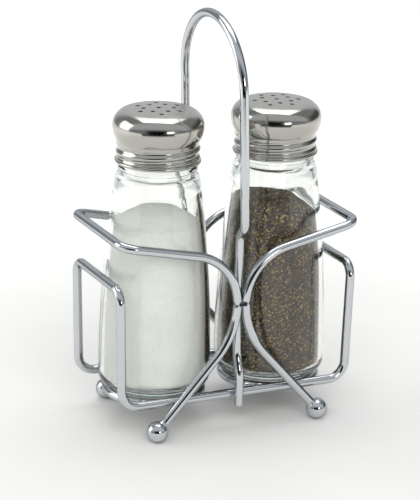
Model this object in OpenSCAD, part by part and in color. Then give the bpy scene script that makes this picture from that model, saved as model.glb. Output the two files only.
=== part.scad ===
// Salt and pepper shakers in a carrying caddy of bent and welded round wire.
// Two tapered glass shakers with screw caps stand on rings between the caddy's rails.
// Frame: +X from the salt shaker to the pepper shaker, -Y is the front, +Z up.
// The origin is the middle of the footprint, on the surface that the ball feet stand on.

/* [Caddy wire] */
// Diameter of all the caddy's wire
wire_d = 4; // [3.5:0.1:4.2]
// Diameter of the ball feet
foot_d = 9.6; // [9:0.2:11]

/* [Base cradle] */
// Height of the base rails' centre line
rail_z = 16.4; // [16:0.2:18]
// Distance from the middle to the centre line of each rail
rail_y = 24.8; // [24.6:0.1:26]
// Distance from the middle to the foot of each end guard
guard_x = 54.5; // [54.5:0.5:58]
// How far each end guard leans outwards at its top
guard_lean = 1.4; // [1.2:0.1:3]
// Height of the end guards' top bars
guard_z = 70; // [60:1:76]
// Bend radius where a rail turns up
rail_bend = 8; // [6:0.5:10]
// Bend radius at the top of the end guards
guard_bend = 6.5; // [5:0.5:9]

/* [Side loops] */
// Height at which the two loops touch each other
pinch_z = 59.5; // [57:0.5:61]
// Bend radius above the pinch
arm_bend = 24.5; // [22:0.5:26]
// Bend radius below the pinch
leg_bend = 35; // [30:1:36]
// Rise of the arms towards their outer ends, in degrees
arm_rise = 12; // [9:0.5:13]
// Slope of the legs, in degrees from the horizontal
leg_slope = 48; // [46:0.5:50]
// Distance from the middle to the end bars of the loops
loop_x = 56.4; // [56.2:0.2:60]
// Bend radius at the loops' outer corners
loop_bend = 7; // [5:0.5:9]

/* [Handle] */
// Height of the top of the hoop's centre line
hoop_z = 183; // [170:1:200]
// Half the width of the hoop
hoop_y = 30.5; // [30:0.5:34]
// How far the top of the hoop leans towards the salt shaker
hoop_lean = 3.5; // [2:1.5:3.5]
// Height at which the handle's wire is cut off
handle_end_z = 12; // [11:0.5:13]

/* [Seat rings] */
// Radius of the rings' centre line
seat_r = 21.2; // [21:0.1:21.6]

/* [Glass] */
// Diameter of the glass at its base
base_d = 50; // [48:0.5:50]
// Distance from the middle to the axis of each shaker
shaker_x = 28.5; // [28:0.1:28.6]
// Radius of the heel under the glass
heel_r = 5.9; // [5.8:0.1:6.4]
// Height of the glass from its base to its shoulder
shoulder_h = 94; // [80:1:100]
// Radius of the glass at the start of its shoulder
shoulder_r = 19; // [18.9:0.1:20]
// Thickness of the wall
wall_t = 2; // [1.8:0.1:2.4]
// Thickness of the bottom
floor_t = 3.6; // [3:0.2:5]

/* [Cap] */
// Thickness of the cap's sheet metal
sheet_t = 0.6; // [0.5:0.05:0.7]
// Radius of the dome at its widest
dome_r = 20.2; // [20:0.1:21]
// Diameter of the pouring holes
hole_d = 2; // [1.5:0.1:2.4]
// Radius of the inner circle of holes
inner_ring_r = 6.5; // [6:0.1:7]
// Radius of the outer circle of holes
outer_ring_r = 9.9; // [9.6:0.1:10.6]
// Rise of the cap for each turn
thread_pitch = 4.2; // [4:0.1:4.4]
// How far the salt cap is turned back from tight, in degrees
salt_cap_turn = 90; // [0:5:180]

/* [Fill] */
// Height of the salt above the base of its glass
salt_top = 82.5; // [60:0.5:84]
// Height of the pepper above the base of its glass
pepper_top = 84.5; // [60:0.5:86]

/* [Hidden] */
$fn = 64;

CHROME = "gainsboro";
STEEL = "silver";
GLASS = [0.86, 0.92, 0.88, 0.35];

// Gap left where two wires are welded side by side, and between each glass and its ring
touch = 0.05;
// Straight and bent lengths of wire stop this short of their joint, and a ball just wider than the wire closes it
joint_gap = 0.05;
joint_d = wire_d + 0.03;
// Gap between a fill and its glass
fill_gap = 0.15;

// The loops lie against the outside of the rails; the handle's middle sits in the groove between the two loops.
loop_y = rail_y + wire_d + touch;
pinch_x = wire_d / 2 + touch / 2;
handle_mid_y = loop_y - sqrt(pow(wire_d + touch, 2) - pow(pinch_x, 2));

// Corners of the handle's two jogs, and the bend radii there
low_jog_z = [26.5, 35];
low_jog_bend = 20;
high_jog_z = [89.5, 94.5];
high_jog_bend = 6;

// Corners of a side loop's straight runs
arm_corner_z = pinch_z + arm_bend * tan((90 - arm_rise) / 2);
arm_end_z = arm_corner_z + (loop_x - pinch_x) * tan(arm_rise);
leg_corner_z = pinch_z - leg_bend * tan((90 - leg_slope) / 2);
foot_z = foot_d / 2;
foot_x = pinch_x + (leg_corner_z - foot_z) / tan(leg_slope);
// The wire butts against a flat on the ball, this far from the ball's centre.
foot_flat = sqrt(pow(foot_d / 2, 2) - pow(wire_d / 2, 2));
leg_end_x = foot_x - (foot_flat + touch) * cos(leg_slope);
leg_end_z = foot_z + (foot_flat + touch) * sin(leg_slope);

// The handle leans sideways from its high jog up to the top of the hoop.
function lean_x(z) = -hoop_lean * max(0, z - high_jog_z[0]) / (hoop_z - high_jog_z[0]);

// Each seat ring is welded to the lower inner side of both rails.
seat_z = rail_z - sqrt(pow(wire_d + touch, 2) - pow(rail_y - seat_r, 2));
shaker_z = seat_z + wire_d / 2 + touch;

// Outline of the glass, measured from its base. The side is a long arc from the belly up to the shoulder.
base_r = base_d / 2;
stand_r = base_r - heel_r - 3;
hollow_r = stand_r - 1.5;
hollow_h = 1.2;
belly_h = 7.3;
belly_r = (pow(shoulder_h - belly_h, 2) + pow(base_r - shoulder_r, 2)) / (2 * (base_r - shoulder_r));
floor_corner = 3;
band_h = shoulder_h + 5.7;
band_r = 17.6;
band_round = 2;
parting_t = 0.3;
lip_h = band_h + 2;
slope_h = 0.6;
neck_r = 16.5;
neck_h = lip_h + 11.8;
neck_round = 1;
mouth_r = 14.4;
mouth_bevel = 0.5;

// Rings of the thread, this far above the lip of the cap, and the flat and the foot of each, from its middle
thread_h = 2.8;
thread_r = 16.95;
thread_flat = 0.4;
thread_foot = 1;

// Outline of the cap, measured from the base of the glass
lip_bead_r = 0.9;
skirt_r = 18.2;
ridge_t = 0.35;
tuck_h = lip_h + 9.8;
skirt_top_h = tuck_h - 0.8;
rim_h = lip_h + 16.3;
crown_h = lip_h + 24.2;
rim_round = 7.2;
under_round = 12;
crown_round = (pow(dome_r - rim_round, 2) + pow(crown_h - rim_h, 2) - pow(rim_round, 2))
              / (2 * (crown_h - rim_h - rim_round));
// The drills for the pouring holes start in the hollow between the neck and the crown.
drill_h = rim_h + 2;
drill_l = 20;

// Round tops of the two heaps
salt_heap_r = 37;
pepper_heap_r = 36;
pepper_heap_x = -6;

// ---- Wire ----

function unit(v) = v / norm(v);

// Distance from a corner to where its bend starts
function setback(a, p, b, r) = r * tan(acos(unit(p - a) * unit(b - p)) / 2);

// Stands what follows at p with its Z axis along d
module along(p, d) {
    translate(p)
        rotate([0, acos(d.z), atan2(d.y, d.x)])
            children();
}

// A straight length of wire from p to q
module wire_run(p, q) {
    d = unit(q - p);
    along(p + d * joint_gap, d)
        cylinder(h = norm(q - p) - 2 * joint_gap, d = wire_d);
}

// The ball that closes the joint between two lengths of wire that run along d
module wire_joint(p, d) {
    along(p, d)
        sphere(d = joint_d);
}

// The bend of radius r at corner p, on the way from a to b
module wire_bend(a, p, b, r) {
    d = unit(p - a);
    e = unit(b - p);
    turn = acos(d * e);
    side = unit(e - d * (d * e));
    up = cross(-side, d);
    c = p - d * r * tan(turn / 2) + side * r;
    gap_turn = joint_gap / r * 180 / PI;
    multmatrix([[-side.x, d.x, up.x, c.x], [-side.y, d.y, up.y, c.y], [-side.z, d.z, up.z, c.z], [0, 0, 0, 1]])
        rotate(gap_turn)
            rotate_extrude(angle = turn - 2 * gap_turn)
                translate([r, 0])
                    circle(d = wire_d);
}

// A wire through the points, with the bend radius rs[i] at point i; a closed one joins its last point to its first
module bent_wire(ps, rs, closed = false) {
    n = len(ps);
    function prev(i) = ps[(i + n - 1) % n];
    function next(i) = ps[(i + 1) % n];
    function bent(i) = closed || (i > 0 && i < n - 1);
    function back(i) = bent(i) ? setback(prev(i), ps[i], next(i), rs[i]) : 0;
    for (i = [0 : n - 1])
        if (bent(i))
            wire_bend(prev(i), ps[i], next(i), rs[i]);
    for (i = [0 : closed ? n - 1 : n - 2]) {
        d = unit(next(i) - ps[i]);
        j = (i + 1) % n;
        p = ps[i] + d * back(i);
        q = ps[j] - d * back(j);
        has_run = norm(q - p) > 4 * joint_gap;
        if (has_run)
            wire_run(p, q);
        if (bent(i))
            wire_joint(p, d);
        if (bent(j) && has_run)
            wire_joint(q, d);
    }
}

// ---- Caddy ----

module base_cradle() {
    top_x = guard_x + guard_lean;
    color(CHROME)
        bent_wire([for (s = [1, -1]) each [
                       [s * guard_x, -s * rail_y, rail_z],
                       [s * top_x, -s * rail_y, guard_z],
                       [s * top_x, s * rail_y, guard_z],
                       [s * guard_x, s * rail_y, rail_z]]],
                  [for (s = [1, -1]) each [rail_bend, guard_bend, guard_bend, rail_bend]],
                  closed = true);
}

// side is -1 for the loop round the salt shaker and 1 for the one round the pepper shaker
module side_loop(side) {
    front = [[leg_end_x, leg_end_z], [pinch_x, leg_corner_z], [pinch_x, arm_corner_z], [loop_x, arm_end_z]];
    color(CHROME)
        bent_wire([for (p = front) [side * p.x, -loop_y, p.y],
                   for (i = [3 : -1 : 0]) [side * front[i].x, loop_y, front[i].y]],
                  [0, leg_bend, arm_bend, loop_bend, loop_bend, arm_bend, leg_bend, 0]);
}

module handle() {
    leg = [[loop_y, handle_end_z], [loop_y, low_jog_z[0]], [handle_mid_y, low_jog_z[1]],
           [handle_mid_y, high_jog_z[0]], [hoop_y, high_jog_z[1]], [hoop_y, hoop_z]];
    bends = [0, low_jog_bend, low_jog_bend, high_jog_bend, high_jog_bend, hoop_y];
    color(CHROME)
        bent_wire([for (p = leg) [lean_x(p.y), -p.x, p.y],
                   for (i = [5 : -1 : 0]) [lean_x(leg[i].y), leg[i].x, leg[i].y]],
                  [each bends, for (i = [5 : -1 : 0]) bends[i]]);
}

module seat_ring(side) {
    color(CHROME)
        translate([side * shaker_x, 0, seat_z])
            rotate_extrude()
                translate([seat_r, 0])
                    circle(d = wire_d);
}

// A ball with a flat where the leg's wire is welded on
module foot(side, depth) {
    color(CHROME)
        translate([side * foot_x, depth * loop_y, foot_z])
            rotate([0, side * (leg_slope - 90), 0])
                difference() {
                    sphere(d = foot_d);
                    translate([0, 0, foot_flat])
                        cylinder(h = foot_d, d = foot_d);
                }
}

// ---- Shakers ----

// Points of an arc, from angle a0 to a1
function arc(x, y, r, a0, a1, n) = [for (i = [0 : n]) let (a = a0 + (a1 - a0) * i / n) [x + r * cos(a), y + r * sin(a)]];

// Angle over which the long curve of the side runs, at an inset from the outside
function belly_end() = asin((shoulder_h - belly_h) / belly_r);

// The side of the glass at an inset t from the outside, from the heel up to the shoulder
function side_curve(t, bottom, corner) = concat(
    arc(base_r - t - corner, bottom + corner, corner, -90, 0, 6),
    arc(base_r - belly_r, belly_h, belly_r - t, 0, belly_end(), 14));

// The section of one ring of the thread at height h
function thread_ring(h) = [[neck_r, h - thread_foot], [thread_r, h - thread_flat],
                           [thread_r, h + thread_flat], [neck_r, h + thread_foot]];

module glass_outline() {
    polygon(concat(
        [[0, hollow_h], [hollow_r, hollow_h], [stand_r, 0]],
        side_curve(0, 0, heel_r),
        arc(band_r - band_round / 2, band_h - band_round, band_round, 30, 60, 3),
        [[band_r - parting_t, band_h - parting_t], [band_r, band_h], [band_r, lip_h - slope_h], [neck_r, lip_h + slope_h]],
        thread_ring(lip_h + thread_h),
        thread_ring(lip_h + thread_h + thread_pitch),
        arc(neck_r - neck_round, neck_h - neck_round, neck_round, 0, 90, 3),
        [[mouth_r + mouth_bevel, neck_h], [mouth_r, neck_h - mouth_bevel], [mouth_r, lip_h]],
        inner_side(0),
        [[0, floor_t]]));
}

// The inside of the glass from under the neck down to its floor, at an inset t
function inner_side(t) = let (c = side_curve(wall_t + t, floor_t + t, floor_corner))
    [for (i = [len(c) - 1 : -1 : 0]) c[i]];

module bottle(side) {
    color(GLASS)
        translate([side * shaker_x, 0, shaker_z])
            rotate_extrude()
                glass_outline();
}

// The outside of the cap when t is 0 and its inside when t is the sheet's thickness, from the crown to the lip
function cap_curve(t) = let (
    rim_x = dome_r - rim_round,
    blend = atan2(rim_h - (crown_h - crown_round), rim_x),
    under_end = -asin((rim_h - tuck_h) / under_round)) concat(
    arc(0, crown_h - crown_round, crown_round - t, 90, blend, 8),
    [for (p = arc(rim_x, rim_h, rim_round - t, blend, 0, 12)) if (p.x > rim_x) p],
    arc(dome_r - under_round, rim_h, under_round - t, -4, under_end, 6),
    [for (i = [0 : 20]) let (h = skirt_top_h - (skirt_top_h - lip_h - lip_bead_r) * i / 20)
        [skirt_r - t + ridge_t * cos(360 * (h - lip_h - thread_h) / thread_pitch), h]]);

// turn is the angle of the first outer hole, and rise is how far the cap stands above its tight place
module cap(side, turn, rise) {
    inside = cap_curve(sheet_t);
    n = len(inside);
    color(STEEL)
        translate([side * shaker_x, 0, shaker_z + rise])
            difference() {
                union() {
                    rotate_extrude()
                        polygon(concat(cap_curve(0), [for (i = [n - 1 : -1 : 0]) inside[i]]));
                    rotate_extrude()
                        translate([skirt_r, lip_h + lip_bead_r])
                            circle(r = lip_bead_r, $fn = 32);
                }
                for (a = [turn : 60 : turn + 300]) {
                    rotate(a)
                        translate([outer_ring_r, 0, drill_h])
                            cylinder(h = drill_l, d = hole_d);
                    rotate(a + 30)
                        translate([inner_ring_r, 0, drill_h])
                            cylinder(h = drill_l, d = hole_d);
                }
                translate([0, 0, drill_h])
                    cylinder(h = drill_l, d = hole_d);
            }
}

// The grains: the inside of the glass up to a rounded heap whose top is at height top and offset heap_x
module fill(side, shade, top, heap_r, heap_x) {
    color(shade)
        translate([side * shaker_x, 0, shaker_z])
            intersection() {
                rotate_extrude()
                    polygon(concat(inner_side(fill_gap), [[0, floor_t + fill_gap], [0, shoulder_h]]));
                translate([heap_x, 0, top - heap_r])
                    union() {
                        sphere(r = heap_r, $fn = 96);
                        translate([0, 0, -top])
                            cylinder(h = top, r = heap_r);
                    }
            }
}

base_cradle();
side_loop(-1);  // left_side_loop
side_loop(1);  // right_side_loop
handle();
seat_ring(-1);  // salt_seat_ring
seat_ring(1);  // pepper_seat_ring
foot(-1, -1);  // front_left_foot
foot(1, -1);  // front_right_foot
foot(-1, 1);  // rear_left_foot
foot(1, 1);  // rear_right_foot
bottle(-1);  // salt_bottle
cap(-1, -20, thread_pitch * salt_cap_turn / 360);  // salt_cap
fill(-1, "white", salt_top, salt_heap_r, 0);  // salt_fill
bottle(1);  // pepper_bottle
cap(1, 10, 0);  // pepper_cap
fill(1, "dimgray", pepper_top, pepper_heap_r, pepper_heap_x);  // pepper_fill
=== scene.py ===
"""Salt and pepper shakers standing in a chromed wire caddy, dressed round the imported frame.

Lengths are in millimetres in the classes' fields and in metres in every mesh.
"""
import logging
import math
from collections.abc import Callable, Sequence
from dataclasses import dataclass
from enum import Enum

import bmesh
import bpy
import numpy as np
from mathutils import Matrix, Vector, geometry


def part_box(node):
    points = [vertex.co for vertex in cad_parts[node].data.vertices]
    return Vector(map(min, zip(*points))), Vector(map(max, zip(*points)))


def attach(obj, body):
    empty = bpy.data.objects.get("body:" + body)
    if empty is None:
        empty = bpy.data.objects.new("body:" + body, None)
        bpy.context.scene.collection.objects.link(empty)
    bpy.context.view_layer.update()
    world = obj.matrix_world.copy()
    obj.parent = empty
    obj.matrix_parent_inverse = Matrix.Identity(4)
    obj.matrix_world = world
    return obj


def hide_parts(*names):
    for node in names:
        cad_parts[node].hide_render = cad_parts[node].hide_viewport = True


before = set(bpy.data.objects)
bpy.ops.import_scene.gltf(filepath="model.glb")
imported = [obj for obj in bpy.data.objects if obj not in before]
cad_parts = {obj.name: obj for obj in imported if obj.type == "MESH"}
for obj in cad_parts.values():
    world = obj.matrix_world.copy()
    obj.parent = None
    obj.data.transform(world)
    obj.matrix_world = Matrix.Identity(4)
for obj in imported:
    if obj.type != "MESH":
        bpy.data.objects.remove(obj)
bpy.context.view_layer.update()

MM = 0.001
TURN = 2 * math.pi
log = logging.getLogger("shakers")

POLE = 1e-6  # a profile point nearer the axis than this, in millimetres, is on it

Tree = bpy.types.NodeTree
Node = bpy.types.Node
Socket = bpy.types.NodeSocket
Mesh = bpy.types.Mesh
Grid = np.ndarray
Place = tuple[float, float, float]
Profile = list[tuple[float, float]]
Shape = Callable[[Grid, Grid, Grid], tuple[Grid, Grid]]


# ---- Colours and nodes ----


def linear(colour: str) -> tuple[float, float, float, float]:
    """Turns an sRGB hex colour into linear values.

    Args:
        colour: the colour as "#RRGGBB".

    Returns:
        Red, green, blue and an alpha of 1.
    """
    values = []
    for i in (1, 3, 5):
        v = int(colour[i : i + 2], 16) / 255
        values.append(v / 12.92 if v <= 0.04045 else ((v + 0.055) / 1.055) ** 2.4)
    return (*values, 1.0)


def add(tree: Tree, kind: str, inputs: dict | None = None, **settings) -> Node:
    """Adds a node to a tree with its settings, values and links.

    Args:
        tree: the tree that gets the node.
        kind: the node's type.
        inputs: a value, or the socket to link from, for each input's name or number.
        settings: the node's own properties.

    Returns:
        The new node.
    """
    node = tree.nodes.new(kind)
    for name, value in settings.items():
        setattr(node, name, value)
    for key, value in (inputs or {}).items():
        if isinstance(value, Socket):
            tree.links.new(value, node.inputs[key])
        else:
            node.inputs[key].default_value = value
    return node


def ramp(tree: Tree, value: Socket, stops: dict[float, str], step: bool = False) -> Socket:
    """Colours a value by a row of stops.

    Args:
        tree: the tree that gets the node.
        value: the socket with the value, from 0 to 1.
        stops: the colour that starts at each place.
        step: True for flat steps with no blend between them.

    Returns:
        The socket with the colour.
    """
    node = add(tree, "ShaderNodeValToRGB", {"Fac": value})
    elements = node.color_ramp.elements
    while len(elements) < len(stops):
        elements.new(0.5)
    for element, (place, colour) in zip(elements, sorted(stops.items())):
        element.position = place
        element.color = linear(colour)
    if step:
        node.color_ramp.interpolation = "CONSTANT"
    return node.outputs["Color"]


def spot(tree: Tree) -> Socket:
    """Returns the socket with the place in the object's own axes."""
    return add(tree, "ShaderNodeTexCoord").outputs["Object"]


def noise(tree: Tree, place: Socket, size_mm: float, detail: float) -> Node:
    """Adds soft noise with lumps of about this size."""
    return add(tree, "ShaderNodeTexNoise", {"Vector": place, "Scale": 1 / (size_mm * MM), "Detail": detail})


def remap(tree: Tree, value: Socket, given: Sequence[float], wanted: Sequence[float],
          soft: bool = False) -> Socket:
    """Maps a value from one range to another and holds it at the ends.

    Args:
        tree: the tree that gets the node.
        value: the socket with the value.
        given: the first and last value of the range that it comes in.
        wanted: what those two become.
        soft: True to ease in and out of the ends.

    Returns:
        The socket with the new value.
    """
    kind = "SMOOTHSTEP" if soft else "LINEAR"
    return add(tree, "ShaderNodeMapRange", {
        "Value": value, "From Min": given[0], "From Max": given[1], "To Min": wanted[0], "To Max": wanted[1]},
        interpolation_type=kind).outputs["Result"]


def relief(tree: Tree, shader: Node, height: Socket, depth_mm: float, strength: float = 1.0,
           invert: bool = False) -> None:
    """Gives a shader the relief of a pattern, this deep."""
    bump = add(tree, "ShaderNodeBump", {
        "Height": height, "Distance": depth_mm * MM, "Strength": strength}, invert=invert)
    tree.links.new(bump.outputs["Normal"], shader.inputs["Normal"])


# ---- Finishes ----


class Slot(Enum):
    """The record's material slots."""

    CHROME = "chrome_wire"
    STEEL = "steel_cap"
    GLASS = "clear_glass"
    SALT = "salt_grains"
    PEPPER = "pepper_grains"


@dataclass(frozen=True)
class Finish:
    """A finish, which makes its material once."""

    name: str
    slot: Slot | None = None

    def material(self) -> bpy.types.Material:
        """Returns the finish's material, and makes it on the first call."""
        known = bpy.data.materials.get(self.name)
        if known:
            return known
        material = bpy.data.materials.new(self.name)
        material.use_nodes = True
        self.dress(material.node_tree, material.node_tree.nodes["Principled BSDF"])
        return material

    def dress(self, tree: Tree, shader: Node) -> None:
        """Sets the shader's values and adds the pattern nodes."""
        raise NotImplementedError


@dataclass(frozen=True)
class ChromePlate(Finish):
    """Bright chromium over nickel on drawn steel wire, plated after welding.

    It mirrors the room with a cool tint. The plating follows the slight waves of bent wire, so long
    reflections wander a little, and a thin film dulls it in patches.
    """

    name: str = "chrome_plate"
    slot: Slot | None = Slot.CHROME
    metal: str = "#CED1D4"
    edge: str = "#B0B3B6"
    clean: float = 0.045
    dull: float = 0.13
    film_mm: float = 7.0
    film_range: tuple[float, float] = (0.35, 0.72)
    wave_mm: float = 3.2
    wave_depth_mm: float = 0.012

    def dress(self, tree: Tree, shader: Node) -> None:
        """Sets a smooth metal with patches of film and slow waves."""
        place = spot(tree)
        film = noise(tree, place, self.film_mm, 3.0).outputs["Fac"]
        wave = noise(tree, place, self.wave_mm, 1.0).outputs["Fac"]
        rough = remap(tree, film, self.film_range, (self.clean, self.dull))
        tree.links.new(rough, shader.inputs["Roughness"])
        relief(tree, shader, wave, self.wave_depth_mm)
        shader.inputs["Base Color"].default_value = linear(self.metal)
        shader.inputs["Specular Tint"].default_value = linear(self.edge)
        shader.inputs["Metallic"].default_value = 1.0


@dataclass(frozen=True)
class SpunSteel(Finish):
    """Spun stainless steel cap: the top is satin from an abrasive pad, and the side is polished.

    The satin top spreads the light into a soft sheen with fine circular marks, and the rim below it
    mirrors the room. The marks are drawn about 0.4 mm apart, coarser than the real ones, so that they show.
    """

    name: str = "spun_stainless_steel"
    slot: Slot | None = Slot.STEEL
    axis_x: float = 0.0
    satin_above: float = 0.0
    metal: str = "#B8B6B0"
    satin: float = 0.34
    polished: float = 0.13
    blend_mm: float = 1.5
    mark_mm: float = 0.4
    mark_depth_mm: float = 0.006
    cloud_mm: float = 5.0
    stain: tuple[float, float] = (-0.03, 0.04)

    def dress(self, tree: Tree, shader: Node) -> None:
        """Sets a metal that goes from polished to satin with height, with circular marks on it."""
        place = spot(tree)
        centred = add(tree, "ShaderNodeMapping", {"Vector": place, "Location": (-self.axis_x, 0, 0)})
        parts = add(tree, "ShaderNodeSeparateXYZ", {"Vector": centred.outputs["Vector"]})
        flat = add(tree, "ShaderNodeCombineXYZ", {"X": parts.outputs["X"], "Y": parts.outputs["Y"]})
        radius = add(tree, "ShaderNodeVectorMath", {0: flat.outputs["Vector"]}, operation="LENGTH")
        rings = add(tree, "ShaderNodeCombineXYZ", {"X": radius.outputs["Value"], "Y": parts.outputs["Z"]})
        marks = noise(tree, rings.outputs["Vector"], self.mark_mm, 2.0).outputs["Fac"]
        cloud = noise(tree, place, self.cloud_mm, 3.0).outputs["Fac"]
        blend = (self.satin_above - self.blend_mm * MM, self.satin_above)
        height = remap(tree, parts.outputs["Z"], blend, (self.polished, self.satin), soft=True)
        stain = remap(tree, cloud, (0.3, 0.7), self.stain)
        rough = add(tree, "ShaderNodeMath", {0: height, 1: stain}, operation="ADD")
        tree.links.new(rough.outputs["Value"], shader.inputs["Roughness"])
        relief(tree, shader, marks, self.mark_depth_mm)
        shader.inputs["Base Color"].default_value = linear(self.metal)
        shader.inputs["Metallic"].default_value = 1.0


@dataclass(frozen=True)
class PressedGlass(Finish):
    """Soda-lime container glass, fire-polished outside: clear in the wall and green where it is deep.

    Iron in the melt takes out red and blue over a few centimetres, which shows only in the heavy base.
    """

    name: str = "soda_lime_glass"
    slot: Slot | None = Slot.GLASS
    ior: float = 1.52
    clear: str = "#FDFEFC"
    depth_tint: str = "#D3EBDA"
    depth: float = 14.0
    chill_mm: float = 9.0
    chill_depth_mm: float = 0.02

    def dress(self, tree: Tree, shader: Node) -> None:
        """Sets clear glass with a depth tint and the slow waves of a pressed surface."""
        wave = noise(tree, spot(tree), self.chill_mm, 1.0).outputs["Fac"]
        relief(tree, shader, wave, self.chill_depth_mm)
        shader.inputs["Base Color"].default_value = linear(self.clear)
        shader.inputs["Roughness"].default_value = 0.0
        shader.inputs["IOR"].default_value = self.ior
        shader.inputs["Transmission Weight"].default_value = 1.0
        tint = add(tree, "ShaderNodeVolumeAbsorption", {
            "Color": linear(self.depth_tint), "Density": self.depth})
        tree.links.new(tint.outputs["Volume"], tree.nodes["Material Output"].inputs["Volume"])


@dataclass(frozen=True)
class TableSalt(Finish):
    """Fine evaporated salt: tiny clear cubes that scatter light to a slightly grey white.

    The grain is drawn at about 0.5 mm, near its true 0.4 mm.
    """

    name: str = "table_salt"
    slot: Slot | None = Slot.SALT
    grain_mm: float = 0.5
    depth_mm: float = 0.1
    drift_mm: float = 11.0
    sparkle: float = 0.45

    def dress(self, tree: Tree, shader: Node) -> None:
        """Sets a matt white with a fine grain."""
        place = spot(tree)
        grain = add(tree, "ShaderNodeTexVoronoi", {"Vector": place, "Scale": 1 / (self.grain_mm * MM)})
        drift = noise(tree, place, self.drift_mm, 4.0).outputs["Fac"]
        tone = ramp(tree, drift, {0.3: "#F1F1EC", 0.6: "#F9F9F5"})
        pick = add(tree, "ShaderNodeSeparateColor", {"Color": grain.outputs["Color"]})
        grey = ramp(tree, pick.outputs["Red"], {0.0: "#EAEAE4", 0.5: "#F8F8F4", 0.85: "#FEFEFB"})
        mix = add(tree, "ShaderNodeMix", {"Factor": self.sparkle, "A": tone, "B": grey}, data_type="RGBA")
        tree.links.new(mix.outputs["Result"], shader.inputs["Base Color"])
        relief(tree, shader, grain.outputs["Distance"], self.depth_mm, 0.6)
        shader.inputs["Roughness"].default_value = 0.55


@dataclass(frozen=True)
class GroundPepper(Finish):
    """Coarsely ground black pepper: near-black husk, brown flesh and cream starch, all matt.

    The flakes are drawn at about 0.6 mm, and each has one of five shades.
    """

    name: str = "ground_pepper"
    slot: Slot | None = Slot.PEPPER
    flake_mm: float = 0.64
    depth_mm: float = 0.25
    rag_mm: float = 0.5
    rag_push_mm: float = 0.3
    dust: float = 0.12

    def dress(self, tree: Tree, shader: Node) -> None:
        """Sets matt speckles of five shades with rough edges."""
        place = spot(tree)
        ragged = noise(tree, place, self.rag_mm, 2.0)
        push = add(tree, "ShaderNodeVectorMath", {
            0: ragged.outputs["Color"], "Scale": self.rag_push_mm * MM}, operation="SCALE")
        moved = add(tree, "ShaderNodeVectorMath", {0: place, 1: push.outputs["Vector"]}, operation="ADD")
        flakes = add(tree, "ShaderNodeTexVoronoi", {
            "Vector": moved.outputs["Vector"], "Scale": 1 / (self.flake_mm * MM)})
        pick = add(tree, "ShaderNodeSeparateColor", {"Color": flakes.outputs["Color"]})
        shade = ramp(tree, pick.outputs["Red"], {
            0.0: "#0B0702", 0.25: "#241705", 0.5: "#442F0C", 0.74: "#71581F", 0.9: "#A68C4C"}, step=True)
        dust = ramp(tree, ragged.outputs["Fac"], {0.35: "#1C140A", 0.7: "#54401F"})
        mix = add(tree, "ShaderNodeMix", {"Factor": self.dust, "A": shade, "B": dust}, data_type="RGBA")
        tree.links.new(mix.outputs["Result"], shader.inputs["Base Color"])
        relief(tree, shader, flakes.outputs["Distance"], self.depth_mm, 0.7, invert=True)
        shader.inputs["Roughness"].default_value = 0.75


@dataclass(frozen=True)
class PaleFloor(Finish):
    """Matt white acrylic sweep, faintly uneven, with a painted glow: it emits light that grows with distance
    from a point just in front of the object.
    """

    name: str = "white_sweep"
    white: str = "#DFDEDB"
    worn: str = "#DBDAD7"
    painted_glow: float = 0.5
    glow_centre: Place = (-0.13, -0.27, 0.0)
    glow_from: float = 0.26
    glow_to: float = 0.75
    clouds_per_m: float = 9.0

    def dress(self, tree: Tree, shader: Node) -> None:
        """Sets a matt white with faint clouds and a painted glow, an emission that grows with distance."""
        place = spot(tree)
        cloud = add(tree, "ShaderNodeTexNoise", {"Vector": place, "Scale": self.clouds_per_m, "Detail": 3.0})
        tree.links.new(ramp(tree, cloud.outputs["Fac"], {0.35: self.worn, 0.65: self.white}),
                       shader.inputs["Base Color"])
        shader.inputs["Roughness"].default_value = 0.7
        # Painted light: the floor's emission rises with distance from glow_centre, which brightens the floor
        # away from the object's shadow.
        away = add(tree, "ShaderNodeVectorMath", {0: place, 1: self.glow_centre}, operation="DISTANCE")
        painted_glow = remap(tree, away.outputs["Value"], (self.glow_from, self.glow_to), (0.0, self.painted_glow), soft=True)
        shader.inputs["Emission Color"].default_value = linear(self.white)
        tree.links.new(painted_glow, shader.inputs["Emission Strength"])


@dataclass(frozen=True)
class BlackFlock(Finish):
    """Black flocked card, which takes in nearly all the light and thins out towards the object."""

    name: str = "black_flock"
    thin_from: float = 0.4
    thin_to: float = 0.8

    def dress(self, tree: Tree, shader: Node) -> None:
        """Sets a matt black that fades in with distance from the object."""
        away = add(tree, "ShaderNodeVectorMath", {0: spot(tree)}, operation="LENGTH")
        cover = remap(tree, away.outputs["Value"], (self.thin_from, self.thin_to), (0.0, 1.0), soft=True)
        shader.inputs["Base Color"].default_value = linear("#050505")
        shader.inputs["Specular IOR Level"].default_value = 0.0
        shader.inputs["Roughness"].default_value = 1.0
        tree.links.new(cover, shader.inputs["Alpha"])


CHROME = ChromePlate()
GLASS = PressedGlass()
SALT = TableSalt()
PEPPER = GroundPepper()


# ---- Meshes ----


def into_scene(name: str, data: bpy.types.ID) -> bpy.types.Object:
    """Adds an object that holds this data to the scene."""
    item = bpy.data.objects.new(name, data)
    bpy.context.scene.collection.objects.link(item)
    return item


def finish_piece(name: str, mesh: Mesh, finish: Finish, body: str,
                 stands_for: Sequence[str] = ()) -> bpy.types.Object:
    """Makes a mesh a finished piece of the object.

    Args:
        name: the piece's name.
        mesh: its mesh, in place.
        finish: its finish.
        body: the body that it rides on.
        stands_for: the CAD nodes that it replaces.

    Returns:
        The piece's object.
    """
    piece = into_scene(name, mesh)
    mesh.materials.clear()
    mesh.materials.append(finish.material())
    mesh.polygons.foreach_set("material_index", [0] * len(mesh.polygons))
    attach(piece, body)
    if stands_for:
        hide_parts(*stands_for)
    log.info("%s: %d faces on %s", name, len(mesh.polygons), body)
    return piece


def smooth(mesh: Mesh, crease: float = math.radians(40)) -> Mesh:
    """Shades a mesh smooth, with the edges past the crease angle kept sharp."""
    mesh.shade_smooth()
    mesh.set_sharp_from_angle(angle=crease)
    return mesh


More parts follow.
